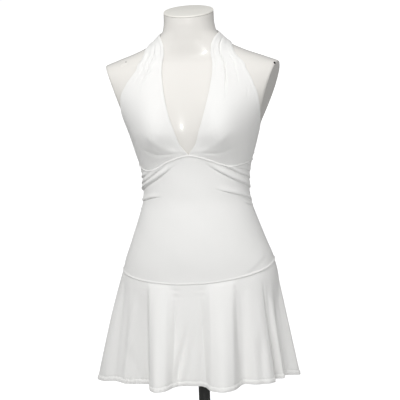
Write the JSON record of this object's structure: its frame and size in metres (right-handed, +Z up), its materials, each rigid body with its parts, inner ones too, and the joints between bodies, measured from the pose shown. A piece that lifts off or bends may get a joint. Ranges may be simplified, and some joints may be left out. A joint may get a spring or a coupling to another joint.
{
  "type": "halter dress with a flounce on a limbless dress form with a pole and base",
  "caption": "Short jersey halter dress with a deep V, gathered midriff, curved hip seam and flounce, worn by a glossy limbless dress form on a pole and round base.",
  "frame": {"origin": "on the ground, below the middle of the whole; the pole's axis is 11 mm to +X and 3 mm to +Y of it", "axes": "+Z up along the pole; the dress's front faces -Y and the wearer's left is +X"},
  "size_m": [0.4469, 0.3419, 0.9565],
  "materials": {
    "jersey": "smooth stretch jersey, soft sheen",
    "form_shell": "glossy off-white",
    "stand_metal": "dark satin paint"
  },
  "bodies": {
    "root": {"halter_left": "jersey", "halter_right": "jersey", "bodice_front": "jersey", "bodice_back": "jersey", "flounce_front": "jersey", "flounce_back": "jersey", "form_torso": "form_shell", "form_neck_cap": "form_shell", "stand_pole": "stand_metal", "stand_collar": "stand_metal", "stand_socket": "stand_metal", "stand_base": "stand_metal"}
  },
  "joints": []
}
